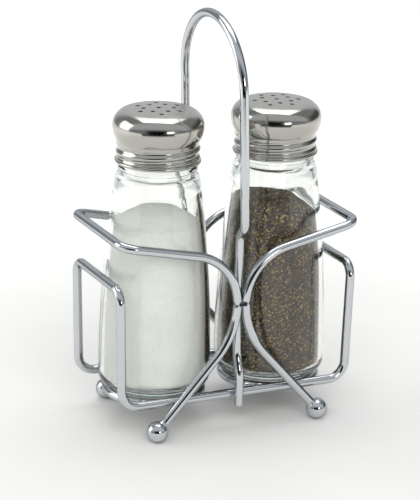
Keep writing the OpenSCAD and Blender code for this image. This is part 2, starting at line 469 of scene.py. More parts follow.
def arc(x: float, y: float, r: float, start: float, end: float, steps: int) -> Profile:
    """Lists points on an arc.

    Args:
        x: the centre's first coordinate.
        y: the centre's second coordinate.
        r: the radius.
        start: the first angle, in degrees.
        end: the last angle, in degrees.
        steps: how many steps to take.

    Returns:
        The points, both ends included.
    """
    turns = np.radians(np.linspace(start, end, steps + 1))
    return [(x + r * math.cos(a), y + r * math.sin(a)) for a in turns]


def lathe(profile: Profile, centre: Vector, sides: int, shape: Shape | None = None,
          spin: Matrix | None = None) -> tuple[list[Vector], list[tuple[int, ...]]]:
    """Turns a profile round an axis.

    Args:
        profile: points as (radius, height) in millimetres; the outside runs upwards.
        centre: where the axis meets height 0.
        sides: how many steps to take round the axis.
        shape: changes the radius and height of each point by its turn round the axis.
        spin: turns the finished form about the centre.

    Returns:
        The vertices, and the faces as lists of vertex numbers. An end with radius 0 closes in a pole.
    """
    turns = np.linspace(0, TURN, sides, endpoint=False)
    grid = np.array(profile, float)
    radius = np.repeat(grid[:, :1], sides, axis=1)
    height = np.repeat(grid[:, 1:], sides, axis=1)
    if shape:
        radius, height = shape(radius, height, np.broadcast_to(turns, radius.shape))
    rows, vertices = [], []
    for i, (r, h) in enumerate(zip(radius, height)):
        pole = grid[i, 0] < POLE
        start = len(vertices)
        if pole:
            vertices.append((0.0, 0.0, float(h.mean())))
        else:
            vertices.extend(zip(r * np.cos(turns), r * np.sin(turns), h))
        rows.append([start] * sides if pole else list(range(start, start + sides)))
    faces = []
    for low, high in zip(rows, rows[1:]):
        for k in range(sides):
            ring = (low[k], low[(k + 1) % sides], high[(k + 1) % sides], high[k])
            face = tuple(dict.fromkeys(ring))
            if len(face) > 2:
                faces.append(face)
    points = [Vector(v) * MM for v in vertices]
    if spin:
        points = [spin @ p for p in points]
    return [p + centre for p in points], faces


def as_mesh(name: str, vertices: Sequence[Vector], faces: Sequence[Sequence[int]]) -> Mesh:
    """Makes a mesh of vertices and faces, smooth where it should be."""
    mesh = bpy.data.meshes.new(name)
    mesh.from_pydata([tuple(v) for v in vertices], [], faces)
    mesh.validate()
    return smooth(mesh)


# ---- Geometry node trees ----


def start_tree(name: str, sockets: dict[str, str]) -> tuple[Tree, Node]:
    """Starts a geometry node tree.

    Args:
        name: the tree's name.
        sockets: the type of each input, after the geometry.

    Returns:
        The tree and its input node.
    """
    tree = bpy.data.node_groups.new(name, "GeometryNodeTree")
    tree.interface.new_socket("Geometry", in_out="INPUT", socket_type="NodeSocketGeometry")
    for socket, kind in sockets.items():
        tree.interface.new_socket(socket, in_out="INPUT", socket_type=kind)
    tree.interface.new_socket("Geometry", in_out="OUTPUT", socket_type="NodeSocketGeometry")
    return tree, tree.nodes.new("NodeGroupInput")


def end_tree(tree: Tree, shape: Socket, finish: Socket) -> None:
    """Ends a tree with Realize Instances and Set Material."""
    real = add(tree, "GeometryNodeRealizeInstances", {"Geometry": shape})
    dressed = add(tree, "GeometryNodeSetMaterial", {
        "Geometry": real.outputs["Geometry"], "Material": finish})
    add(tree, "NodeGroupOutput", {"Geometry": dressed.outputs["Geometry"]})


def tube_tree() -> Tree:
    """Makes the tree that rounds a polyline's corners and sweeps a wire along it.

    Returns:
        A tree that reads each point's "bend" radius and its "taper", the share of the full diameter.
    """
    tree, given = start_tree("swept_wire", {
        "Wire diameter": "NodeSocketFloat", "Sides": "NodeSocketInt", "Bend steps": "NodeSocketInt",
        "Finish": "NodeSocketMaterial"})
    line = add(tree, "GeometryNodeMeshToCurve", {"Mesh": given.outputs["Geometry"]})
    bend = add(tree, "GeometryNodeInputNamedAttribute", {"Name": "bend"}, data_type="FLOAT")
    taper = add(tree, "GeometryNodeInputNamedAttribute", {"Name": "taper"}, data_type="FLOAT")
    sized = add(tree, "GeometryNodeSetCurveRadius", {
        "Curve": line.outputs["Curve"], "Radius": taper.outputs["Attribute"]})
    rounded = add(tree, "GeometryNodeFilletCurve", {
        "Curve": sized.outputs["Curve"], "Radius": bend.outputs["Attribute"],
        "Count": given.outputs["Bend steps"]}, mode="POLY")
    half = add(tree, "ShaderNodeMath", {0: given.outputs["Wire diameter"], 1: 0.5}, operation="MULTIPLY")
    ring = add(tree, "GeometryNodeCurvePrimitiveCircle", {
        "Resolution": given.outputs["Sides"], "Radius": half.outputs["Value"]}, mode="RADIUS")
    wire = add(tree, "GeometryNodeCurveToMesh", {
        "Curve": rounded.outputs["Curve"], "Profile Curve": ring.outputs["Curve"], "Fill Caps": True})
    end_tree(tree, wire.outputs["Mesh"], given.outputs["Finish"])
    return tree


def bead_tree() -> Tree:
    """Makes the tree that sets a small uneven weld bead on each point.

    Returns:
        A tree that reads each point's "stretch", the bead's half sizes along X, Y and Z.
    """
    lump_mm = 1.4
    tree, given = start_tree("weld_beads", {
        "Unevenness": "NodeSocketFloat", "Seed": "NodeSocketInt", "Finish": "NodeSocketMaterial"})
    ball = add(tree, "GeometryNodeMeshIcoSphere", {"Radius": 1.0, "Subdivisions": 4})
    size = add(tree, "GeometryNodeInputNamedAttribute", {"Name": "stretch"}, data_type="FLOAT_VECTOR")
    points = add(tree, "GeometryNodeMeshToPoints", {"Mesh": given.outputs["Geometry"]})
    turn = add(tree, "FunctionNodeRandomValue", {
        0: (-0.3, -0.3, -0.3), 1: (0.3, 0.3, 0.3), "Seed": given.outputs["Seed"]}, data_type="FLOAT_VECTOR")
    placed = add(tree, "GeometryNodeInstanceOnPoints", {
        "Points": points.outputs["Points"], "Instance": ball.outputs["Mesh"],
        "Scale": size.outputs["Attribute"], "Rotation": turn.outputs["Value"]})
    real = add(tree, "GeometryNodeRealizeInstances", {"Geometry": placed.outputs["Instances"]})
    place = add(tree, "GeometryNodeInputPosition")
    lumps = noise(tree, place.outputs["Position"], lump_mm, 2.0)
    centred = add(tree, "ShaderNodeMath", {0: lumps.outputs["Fac"], 1: 0.5}, operation="SUBTRACT")
    push = add(tree, "ShaderNodeMath", {
        0: centred.outputs["Value"], 1: given.outputs["Unevenness"]}, operation="MULTIPLY")
    normal = add(tree, "GeometryNodeInputNormal")
    offset = add(tree, "ShaderNodeVectorMath", {
        0: normal.outputs["Normal"], "Scale": push.outputs["Value"]}, operation="SCALE")
    lumpy = add(tree, "GeometryNodeSetPosition", {
        "Geometry": real.outputs["Geometry"], "Offset": offset.outputs["Vector"]})
    end_tree(tree, lumpy.outputs["Geometry"], given.outputs["Finish"])
    return tree


class Grain(Enum):
    """The shapes of loose grains."""

    CUBE = "cube"
    CHIP = "chip"


def grain_tree(grain: Grain) -> Tree:
    """Makes the tree that scatters grains over the upward faces of a heap.

    Args:
        grain: the shape of one grain.

    Returns:
        The tree.
    """
    tree, given = start_tree(f"scattered_{grain.value}s", {
        "Grain size": "NodeSocketFloat", "Spacing": "NodeSocketFloat", "Density": "NodeSocketFloat",
        "Seed": "NodeSocketInt", "Finish": "NodeSocketMaterial"})
    if grain is Grain.CUBE:
        one = add(tree, "GeometryNodeMeshCube", {"Size": (1.0, 1.0, 1.0)}).outputs["Mesh"]
        low, high = (0.6, 0.6, 0.6), (1.1, 1.1, 1.1)
    else:
        one = add(tree, "GeometryNodeMeshIcoSphere", {"Radius": 0.6, "Subdivisions": 1}).outputs["Mesh"]
        low, high = (0.5, 0.4, 0.25), (1.5, 1.2, 0.7)
    normal = add(tree, "GeometryNodeInputNormal")
    slope = add(tree, "ShaderNodeSeparateXYZ", {"Vector": normal.outputs["Normal"]})
    upward = 0.35
    top = add(tree, "FunctionNodeCompare", {"A": slope.outputs["Z"], "B": upward}, operation="GREATER_THAN")
    spread = add(tree, "GeometryNodeDistributePointsOnFaces", {
        "Mesh": given.outputs["Geometry"], "Selection": top.outputs["Result"],
        "Distance Min": given.outputs["Spacing"], "Density Max": given.outputs["Density"],
        "Seed": given.outputs["Seed"]}, distribute_method="POISSON")
    turn = add(tree, "FunctionNodeRandomValue", {
        0: (0.0, 0.0, 0.0), 1: (TURN, TURN, TURN), "Seed": given.outputs["Seed"]}, data_type="FLOAT_VECTOR")
    share = add(tree, "FunctionNodeRandomValue", {0: low, 1: high, "Seed": 7}, data_type="FLOAT_VECTOR")
    size = add(tree, "ShaderNodeVectorMath", {
        0: share.outputs["Value"], "Scale": given.outputs["Grain size"]}, operation="SCALE")
    placed = add(tree, "GeometryNodeInstanceOnPoints", {
        "Points": spread.outputs["Points"], "Instance": one,
        "Rotation": turn.outputs["Value"], "Scale": size.outputs["Vector"]})
    end_tree(tree, placed.outputs["Instances"], given.outputs["Finish"])
    return tree


def grow(name: str, source: Mesh, tree: Tree, values: dict[str, object]) -> Mesh:
    """Runs a geometry node tree on a mesh.

    Args:
        name: the new mesh's name.
        source: the mesh that the tree starts from.
        tree: the tree.
        values: the value of each input, by its name.

    Returns:
        The result as a plain mesh.
    """
    holder = into_scene(name + "_source", source)
    modifier = holder.modifiers.new(tree.name, "NODES")
    modifier.node_group = tree
    for item in tree.interface.items_tree:
        if item.in_out == "INPUT" and item.name in values:
            modifier[item.identifier] = values[item.name]
    graph = bpy.context.evaluated_depsgraph_get()
    mesh = bpy.data.meshes.new_from_object(holder.evaluated_get(graph), depsgraph=graph)
    mesh.name = name
    holder.modifiers.remove(modifier)
    bpy.data.objects.remove(holder)
    return mesh


# ---- The caddy ----


@dataclass
class Bend:
    """A corner of a wire: its place, the bend's radius and the share of the full diameter there."""

    place: Place
    radius: float = 0.0
    taper: float = 1.0


@dataclass
class WireCaddy:
    """The carrying caddy of bent, welded and plated round wire."""

    guard_lean: float = 1.4
    rail_bend: float = 8.0
    guard_bend: float = 6.5
    pinch_z: float = 59.5
    arm_bend: float = 24.5
    leg_bend: float = 35.0
    arm_rise: float = 12.0
    leg_slope: float = 48.0
    loop_bend: float = 7.0
    low_jog: tuple[float, float] = (26.5, 35.0)
    low_jog_bend: float = 20.0
    high_jog: tuple[float, float] = (89.5, 94.5)
    high_jog_bend: float = 6.0
    burr: float = 0.35
    burr_taper: float = 0.82
    ball_sunk: float = 0.8
    pinch_bead: Place = (0.45, 0.4, 1.3)
    leg_bead: Place = (1.7, 0.9, 1.25)
    seat_bead: Place = (3.4, 0.8, 0.8)
    post_bead: Place = (1.45, 0.9, 1.7)
    bead_rough: float = 0.45
    sides: int = 40
    bend_steps: int = 28

    def __post_init__(self) -> None:
        """Takes the wire's places from the frame."""
        low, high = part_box("salt_seat_ring")
        self.wire_r = (high.z - low.z) / 2 / MM
        self.seat_r = (high.x - low.x) / 2 / MM - self.wire_r
        self.seat_z = (high.z + low.z) / 2 / MM
        self.seat_x = -(high.x + low.x) / 2 / MM
        low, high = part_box("base_cradle")
        self.rail_z = low.z / MM + self.wire_r
        self.guard_z = high.z / MM - self.wire_r
        self.guard_x = high.x / MM - self.wire_r
        self.rail_y = high.y / MM - self.wire_r
        low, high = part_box("right_side_loop")
        self.loop_x = high.x / MM - self.wire_r
        self.loop_y = high.y / MM - self.wire_r
        self.pinch_x = low.x / MM + self.wire_r
        low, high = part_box("handle")
        self.hoop_z = high.z / MM - self.wire_r
        self.hoop_y = high.y / MM - self.wire_r
        self.hoop_lean = -low.x / MM - self.wire_r
        self.end_z = low.z / MM
        low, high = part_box("front_right_foot")
        self.ball_r = (high.y - low.y) / 2 / MM
        self.foot_x = (high.x + low.x) / 2 / MM
        gap = (self.wire_r * 2) ** 2 - self.pinch_x**2
        self.middle_y = self.loop_y - math.sqrt(gap)
        self.tube = tube_tree()

    def wire(self, name: str, bends: Sequence[Bend], closed: bool = False) -> None:
        """Bends one wire and adds it to the caddy.

        Args:
            name: the CAD node that it stands for.
            bends: its ends and corners.
            closed: True if the last point joins the first.
        """
        line = bpy.data.meshes.new(name + "_line")
        count = len(bends)
        edges = [(i, (i + 1) % count) for i in range(count if closed else count - 1)]
        line.from_pydata([[c * MM for c in b.place] for b in bends], edges, [])
        for key, values in (("bend", [b.radius * MM for b in bends]), ("taper", [b.taper for b in bends])):
            line.attributes.new(key, "FLOAT", "POINT").data.foreach_set("value", values)
        mesh = grow(name, line, self.tube, {
            "Wire diameter": self.wire_r * 2 * MM, "Sides": self.sides, "Bend steps": self.bend_steps,
            "Finish": CHROME.material()})
        weld_seam(mesh)
        finish_piece("plated_" + name, smooth(mesh), CHROME, "caddy", [name])

    def cradle(self) -> None:
        """Adds the base rails and end guards, one closed loop."""
        foot_x = self.guard_x - self.guard_lean
        bends = []
        for s in (1, -1):
            bends += [Bend((s * foot_x, -s * self.rail_y, self.rail_z), self.rail_bend),
                      Bend((s * self.guard_x, -s * self.rail_y, self.guard_z), self.guard_bend),
                      Bend((s * self.guard_x, s * self.rail_y, self.guard_z), self.guard_bend),
                      Bend((s * foot_x, s * self.rail_y, self.rail_z), self.rail_bend)]
        self.wire("base_cradle", bends, closed=True)

    def side_loop(self, side: int, name: str) -> None:
        """Adds the loop round one shaker.

        Args:
            side: -1 for the salt shaker and 1 for the pepper shaker.
            name: the CAD node that it stands for.
        """
        slope = math.radians(self.leg_slope)
        rise = math.radians(self.arm_rise)
        arm_z = self.pinch_z + self.arm_bend * math.tan((math.pi / 2 - rise) / 2)
        leg_z = self.pinch_z - self.leg_bend * math.tan((math.pi / 2 - slope) / 2)
        end_z = arm_z + (self.loop_x - self.pinch_x) * math.tan(rise)
        into_ball = self.ball_r * self.ball_sunk
        start = (self.foot_x - into_ball * math.cos(slope), self.ball_r + into_ball * math.sin(slope))
        front = [(*start, 0.0), (self.pinch_x, leg_z, self.leg_bend), (self.pinch_x, arm_z, self.arm_bend),
                 (self.loop_x, end_z, self.loop_bend)]
        bends = [Bend((side * x, -self.loop_y, z), r) for x, z, r in front]
        bends += [Bend((side * x, self.loop_y, z), r) for x, z, r in reversed(front)]
        self.wire(name, bends)

    def lean_x(self, height: float) -> float:
        """Returns how far the handle leans towards the salt shaker at a height above its high jog."""
        return -self.hoop_lean * max(0.0, height - self.high_jog[0]) / (self.hoop_z - self.high_jog[0])

    def handle(self) -> None:
        """Adds the hoop handle, whose legs step in to sit behind the pinch; its cut ends are deburred."""
        leg = [(self.loop_y, self.end_z, 0.0, self.burr_taper),
               (self.loop_y, self.end_z + self.burr, 0.0, 1.0),
               (self.loop_y, self.low_jog[0], self.low_jog_bend, 1.0),
               (self.middle_y, self.low_jog[1], self.low_jog_bend, 1.0),
               (self.middle_y, self.high_jog[0], self.high_jog_bend, 1.0),
               (self.hoop_y, self.high_jog[1], self.high_jog_bend, 1.0),
               (self.hoop_y, self.hoop_z, self.hoop_y, 1.0)]
        bends = [Bend((self.lean_x(z), -y, z), r, t) for y, z, r, t in leg]
        bends += [Bend((self.lean_x(z), y, z), r, t) for y, z, r, t in reversed(leg)]
        self.wire("handle", bends)

    def seat_ring(self, side: int, name: str) -> None:
        """Adds the ring of wire that one shaker stands on."""
        steps = 96
        bends = [Bend((side * self.seat_x + self.seat_r * math.cos(TURN * i / steps),
                       self.seat_r * math.sin(TURN * i / steps), self.seat_z)) for i in range(steps)]
        self.wire(name, bends, closed=True)

    def foot(self, side: int, depth: int, name: str) -> None:
        """Adds a ball foot with the weld that joins it to the leg."""
        r, w = self.ball_r, self.wire_r
        neck = math.degrees(math.asin(w * 1.38 / r))
        profile = arc(0, 0, r, -90, 90 - neck, 40)
        x, h = profile[-1]
        profile += [(x - 0.18, h + 0.28), (x - 0.3, h + 0.62), (w + 0.16, h + 0.95), (w + 0.06, h + 1.3),
                    (w - 0.05, h + 1.5), (0, h + 1.5)]
        profile[0] = (0, -r)
        lean = Matrix.Rotation(side * math.radians(self.leg_slope - 90), 3, "Y")
        centre = Vector((side * self.foot_x, depth * self.loop_y, r)) * MM

        def uneven(radius: Grid, height: Grid, turn: Grid) -> tuple[Grid, Grid]:
            """Makes the weld a little uneven and leaves the ball round."""
            weld = np.clip((height - h) / 0.3, 0, 1) * (radius > w * 0.6)
            return radius + weld * 0.1 * np.sin(3 * turn + side + depth), height

        vertices, faces = lathe(profile, centre, 72, uneven, lean)
        finish_piece("plated_" + name, as_mesh(name, vertices, faces), CHROME, "caddy", [name])

    def welds(self) -> None:
        """Adds the weld beads where wires meet."""
        slope = math.tan(math.radians(self.leg_slope))
        leg_x = self.foot_x - (self.rail_z - self.ball_r) / slope
        between = (self.rail_y + self.loop_y) / 2
        groove_y = (self.loop_y + self.middle_y) / 2
        seat_y = (self.rail_y + self.seat_r) / 2
        seat_z = (self.rail_z + self.seat_z) / 2
        spots = []
        for depth in (-1, 1):
            for side in (-1, 1):
                spots.append(((side * self.pinch_x * 0.62, depth * groove_y, self.pinch_z), self.pinch_bead))
                spots.append(((side * leg_x, depth * between, self.rail_z), self.leg_bead))
                spots.append(((side * self.seat_x, depth * seat_y, seat_z), self.seat_bead))
            spots.append(((0, depth * between, self.rail_z), self.post_bead))
        points = bpy.data.meshes.new("weld_spots")
        points.from_pydata([[c * MM for c in place] for place, _ in spots], [], [])
        stretch = points.attributes.new("stretch", "FLOAT_VECTOR", "POINT")
        stretch.data.foreach_set("vector", [c * MM for _, size in spots for c in size])
        mesh = grow("weld_beads", points, bead_tree(), {
            "Unevenness": self.bead_rough * MM, "Seed": 4, "Finish": CHROME.material()})
        finish_piece("weld_beads", smooth(mesh), CHROME, "caddy")

    def build(self) -> None:
        """Builds the whole caddy."""
        self.cradle()
        self.side_loop(-1, "left_side_loop")
        self.side_loop(1, "right_side_loop")
        self.handle()
        self.seat_ring(-1, "salt_seat_ring")
        self.seat_ring(1, "pepper_seat_ring")
        for side, across in ((-1, "left"), (1, "right")):
            for depth, along in ((-1, "front"), (1, "rear")):
                self.foot(side, depth, f"{along}_{across}_foot")
        self.welds()


def weld_seam(mesh: Mesh) -> None:
    """Merges a swept wire's doubled rings and turns its faces outwards."""
    shape = bmesh.new()
    shape.from_mesh(mesh)
    bmesh.ops.remove_doubles(shape, verts=shape.verts, dist=0.002 * MM)
    bmesh.ops.recalc_face_normals(shape, faces=shape.faces)
    shape.to_mesh(mesh)
    shape.free()


# ---- The shakers ----


@dataclass
class ShakerGlass:
    """One tapered glass with a heavy base and a threaded neck, and the inside that its grains fill.

    Heights are above the base, in millimetres.
    """

    name: str
    heel_r: float = 5.9
    shoulder_h: float = 94.0
    shoulder_r: float = 19.0
    wall: float = 2.0
    floor: float = 3.2
    belly_h: float = 7.3
    floor_corner: float = 3.6
    band_h: float = 99.7
    band_r: float = 17.6
    lip_h: float = 101.7
    neck_r: float = 16.5
    mouth_r: float = 14.4
    inner_drop: float = 6.0
    thread_t: float = 0.45
    thread_h: float = 2.8
    pitch: float = 4.2
    knurls: int = 56
    knurl_t: float = 0.28
    seam_t: float = 0.05
    uneven: float = 0.07
    floor_sag: float = 0.12
    sides: int = 168

    def __post_init__(self) -> None:
        """Takes the glass's place, base and height from the frame."""
        low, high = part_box(self.name + "_bottle")
        self.centre = Vector(((low.x + high.x) / 2, 0, low.z))
        self.base_r = (high.x - low.x) / 2 / MM
        self.neck_h = (high.z - low.z) / MM
        rise = self.shoulder_h - self.belly_h
        taper = self.base_r - self.shoulder_r
        self.belly_r = (rise**2 + taper**2) / (2 * taper)

    def side_r(self, height: float, inset: float = 0.0) -> float:
        """Returns the radius of the side at a height, this far inside it."""
        reach = (self.belly_r - inset) ** 2 - (height - self.belly_h) ** 2
        return self.base_r - self.belly_r + math.sqrt(reach)

    def profile(self) -> Profile:
        """Returns the section from the axis below, up the outside, over the mouth and down the inside."""
        stand = self.base_r - self.heel_r - 3
        points: Profile = [(0.0, 1.6), (stand * 0.55, 1.45), (stand - 3, 1.15), (stand - 1.5, 0.7)]
        points += [(stand - 0.6, 0.15), (stand + 0.3, 0.0), (stand + 1.7, 0.0)]
        points += arc(self.base_r - self.heel_r, self.heel_r, self.heel_r, -84, -8, 14)
        points += [(self.side_r(h), h) for h in np.linspace(self.belly_h, self.shoulder_h, 44)]
        points += arc(self.shoulder_r - 3.4, self.shoulder_h + 0.9, 3.3, 4, 62, 10)
        points += [(self.band_r - 0.5, self.band_h - 0.5), (self.band_r - 0.62, self.band_h - 0.2)]
        points += [(self.band_r - 0.12, self.band_h - 0.05), (self.band_r, self.band_h + 0.35)]
        points += [(self.band_r - 0.15, self.lip_h - 0.9), (self.neck_r + 0.3, self.lip_h)]
        points += [(self.neck_r, h) for h in np.linspace(self.lip_h + 0.6, self.neck_h - 1.2, 40)]
        points += arc(self.neck_r - 1, self.neck_h - 1, 1, 0, 90, 8)
        points += arc(self.mouth_r + 0.7, self.neck_h - 0.7, 0.7, 90, 180, 6)
        points += [(self.mouth_r, h) for h in np.linspace(self.neck_h - 1.5, self.lip_h + 1, 8)]
        low = self.shoulder_h - self.inner_drop
        neck_end = self.lip_h + 1
        wide = self.side_r(low, self.wall)
        for f in np.linspace(0.08, 0.92, 10):
            ease = (1 - math.cos(math.pi * f)) / 2
            points.append((self.mouth_r + (wide - self.mouth_r) * ease, neck_end - (neck_end - low) * f))
        corner_h = self.floor + self.floor_corner
        points += [(self.side_r(h, self.wall), h) for h in np.linspace(low, corner_h, 44)]
        corner_x = self.side_r(corner_h, self.wall) - self.floor_corner
        points += arc(corner_x, corner_h, self.floor_corner, -8, -90, 12)
        points += [(corner_x * f, self.floor + 0.25 * (1 - f)) for f in (0.75, 0.5, 0.25)]
        return [*points, (0.0, self.floor + 0.3)]

    def shape(self, radius: Grid, height: Grid, turn: Grid) -> tuple[Grid, Grid]:
        """Adds the thread, the mould's seams, the knurled foot and the uneven inside of pressed glass."""
        inside = np.cumsum(np.ones_like(radius), axis=0) > self.inside_from
        start = self.lip_h + self.thread_h - 1.2
        climb = height - start - self.pitch * turn / TURN
        near = np.abs((climb + self.pitch / 2) % self.pitch - self.pitch / 2)
        lap = (height - start) / self.pitch - turn / TURN
        run = np.clip((lap + 0.45) * 8, 0, 1) * np.clip((1.55 - lap) * 8, 0, 1)
        on_neck = ~inside & (height > self.lip_h + 0.9) & (height < self.neck_h - 1.6)
        bump = self.thread_t * np.clip(1.35 - near / 0.75, 0, 1)
        radius = radius + np.where(on_neck, bump * run, 0)
        seam = np.exp(-((np.sin(turn) * radius / 0.35) ** 2))
        on_side = ~inside & (height > self.heel_r) & (height < self.band_h)
        radius = radius + np.where(on_side, self.seam_t * seam, 0)
        under = ~inside & (height < 0.8) & (radius > self.base_r * 0.55)
        height = height + np.where(under, self.knurl_t * (1 - np.cos(self.knurls * turn)) / 2, 0)
        slow = np.sin(2 * turn + height / 19) + 0.6 * np.sin(3 * turn - height / 11 + 1.7)
        radius = radius + np.where(inside & (radius > 4) & (height > self.floor + 2), self.uneven * slow, 0)
        sag = self.floor_sag * np.sin(3 * turn + 0.8) * np.clip(radius / 15, 0, 1)
        height = height + np.where(inside & (height < self.floor + 1.5), sag, 0)
        return radius, height

    def build(self) -> None:
        """Builds the glass."""
        profile = self.profile()
        self.inside_from = max(i for i, p in enumerate(profile) if p[1] >= self.neck_h - 1e-6) + 1
        vertices, faces = lathe(profile, self.centre, self.sides, self.shape)
        mesh = as_mesh(self.name + "_glass", vertices, faces)
        body = self.name + "_glass"
        finish_piece(body + "_body", mesh, GLASS, body, [self.name + "_bottle"])


@dataclass
class ScrewCap:
    """A spun cap with a rolled thread, a rolled lip and punched pouring holes."""

    name: str
    glass: ShakerGlass
    first_hole: float
    sheet: float = 0.6
    skirt_r: float = 18.2
    ridge: float = 0.42
    bead_r: float = 0.9
    rim_round: float = 7.2
    under_round: float = 12.0
    tuck: float = 9.8
    rim: float = 16.3
    hole_d: float = 2.0
    inner_ring: float = 6.7
    outer_ring: float = 9.9
    disc_r: float = 12.4
    dimple: float = 0.16
    satin_edge: float = 0.8
    disc_step: float = 0.55
    hole_sides: int = 28
    sides: int = 168

    def __post_init__(self) -> None:
        """Takes the dome's width and height from the frame."""
        low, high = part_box(self.name + "_cap")
        self.dome_r = (high.x - low.x) / 2 / MM
        self.crown = (high.z - low.z) / MM
        self.centre = Vector(((low.x + high.x) / 2, 0, low.z))
        self.rim_x = self.dome_r - self.rim_round
        lift = self.crown - self.rim
        self.crown_r = (self.rim_x**2 + lift**2 - self.rim_round**2) / (2 * (lift - self.rim_round))

    def holes(self) -> list[tuple[float, float]]:
        """Returns the centres of the pouring holes: one in the middle and two rings of six."""
        centres = [(0.0, 0.0)]
        for i in range(6):
            for ring, extra in ((self.outer_ring, 0), (self.inner_ring, 30)):
                a = math.radians(self.first_hole + 60 * i + extra)
                centres.append((ring * math.cos(a), ring * math.sin(a)))
        return centres

    def crown_h(self, x: float, y: float) -> float:
        """Returns the height of the crown, drawn down a little round each punched hole."""
        h = self.crown - self.crown_r + math.sqrt(self.crown_r**2 - x * x - y * y)
        near = min(math.hypot(x - a, y - b) for a, b in self.holes()) - self.hole_d / 2
        return h - self.dimple * math.exp(-((max(near, 0) / 0.42) ** 2))

    def profile(self) -> Profile:
        """Returns the outside from the rolled lip's inner edge up to the rim of the crown's disc."""
        points = arc(self.skirt_r, self.bead_r, self.bead_r, -215, -1, 16)
        points += arc(self.skirt_r, self.bead_r, self.bead_r, 12, 64, 4)
        top = self.tuck - 0.9
        points += [(self.skirt_r, h) for h in np.linspace(self.bead_r * 2.1, top, 34)]
        under_end = -math.degrees(math.asin((self.rim - self.tuck) / self.under_round))
        points += arc(self.dome_r - self.under_round, self.rim, self.under_round, under_end, -1, 26)
        low = self.rim - (self.crown - self.crown_r)
        blend = math.degrees(math.atan2(low, self.rim_x))
        points += arc(self.rim_x, self.rim, self.rim_round, 2, blend, 34)
        last = math.degrees(math.acos(self.disc_r / self.crown_r))
        points += arc(0, self.crown - self.crown_r, self.crown_r, blend + 0.08, last, 4)
        return points

    def shape(self, radius: Grid, height: Grid, turn: Grid) -> tuple[Grid, Grid]:
        """Rolls the thread into the skirt."""
        on_skirt = (height > self.bead_r * 2) & (height < self.tuck - 0.5)
        phase = TURN * (height - self.glass.thread_h) / self.glass.pitch - turn
        ends = np.clip((height - self.bead_r * 2) / 0.8, 0, 1)
        ends = ends * np.clip((self.tuck - 0.5 - height) / 1.2, 0, 1)
        return radius + np.where(on_skirt, self.ridge * np.cos(phase) * ends, 0), height

    def disc(self) -> tuple[list[Vector], list[tuple[int, ...]]]:
        """Makes the crown's middle as a disc with its holes cut out.

        Returns:
            Its vertices, and its faces as lists of vertex numbers.
        """
        def ring(cx: float, cy: float, r: float, count: int) -> list[tuple[float, float]]:
            """Lists the points of a circle."""
            turns = [TURN * i / count for i in range(count)]
            return [(cx + r * math.cos(a), cy + r * math.sin(a)) for a in turns]

        points, edges = ring(0, 0, self.disc_r, self.sides), []
        edges += [(i, (i + 1) % self.sides) for i in range(self.sides)]
        for x, y in self.holes():
            for r in (0.5 * self.hole_d, 0.5 * self.hole_d + 0.14, 0.5 * self.hole_d + 0.34):
                start = len(points)
                points += ring(x, y, r, self.hole_sides)
                edges += [(start + i, start + (i + 1) % self.hole_sides) for i in range(self.hole_sides)]
        for r in np.arange(0.8, self.disc_r - 0.3, self.disc_step):
            for p in ring(0, 0, r, max(6, int(TURN * r / self.disc_step))):
                if min(math.hypot(p[0] - a, p[1] - b) for a, b in self.holes()) > self.hole_d / 2 + 0.6:
                    points.append(p)
        corners = [Vector(p) for p in points]
        flat, _, triangles, *_ = geometry.delaunay_2d_cdt(corners, edges, [], 0, 1e-7)
        vertices = [Vector((p.x, p.y, self.crown_h(p.x, p.y))) * MM + self.centre for p in flat]
        faces = []
        for face in triangles:
            mid = sum((flat[i] for i in face), Vector((0, 0))) / len(face)
            near = min(math.hypot(mid.x - a, mid.y - b) for a, b in self.holes())
            open_here = near < self.hole_d / 2 - 0.001
            if not open_here and mid.length < self.disc_r:
                faces.append(tuple(face))
        return vertices, faces

    def build(self) -> None:
        """Builds the cap as one sheet and then gives it its thickness."""
        vertices, faces = lathe(self.profile(), self.centre, self.sides, self.shape)
        more, extra = self.disc()
        count = len(vertices)
        faces = [*faces, *(tuple(i + count for i in f) for f in extra)]
        mesh = bpy.data.meshes.new(self.name + "_cap_shell")
        mesh.from_pydata([tuple(v) for v in [*vertices, *more]], [], faces)
        shell = bmesh.new()
        shell.from_mesh(mesh)
        bmesh.ops.remove_doubles(shell, verts=shell.verts, dist=0.01 * MM)
        loose = [v for v in shell.verts if not v.link_faces]
        bmesh.ops.delete(shell, geom=loose, context="VERTS")
        bmesh.ops.solidify(shell, geom=shell.faces[:], thickness=self.sheet * MM)
        bmesh.ops.recalc_face_normals(shell, faces=shell.faces)
        shell.to_mesh(mesh)
        shell.free()
        finish = SpunSteel(name=f"spun_stainless_steel_{self.name}", axis_x=self.centre.x,
                           satin_above=self.centre.z + (self.crown - self.satin_edge) * MM)
        cap = self.name + "_cap"
        finish_piece(cap + "_shell", smooth(mesh), finish, cap, [cap])


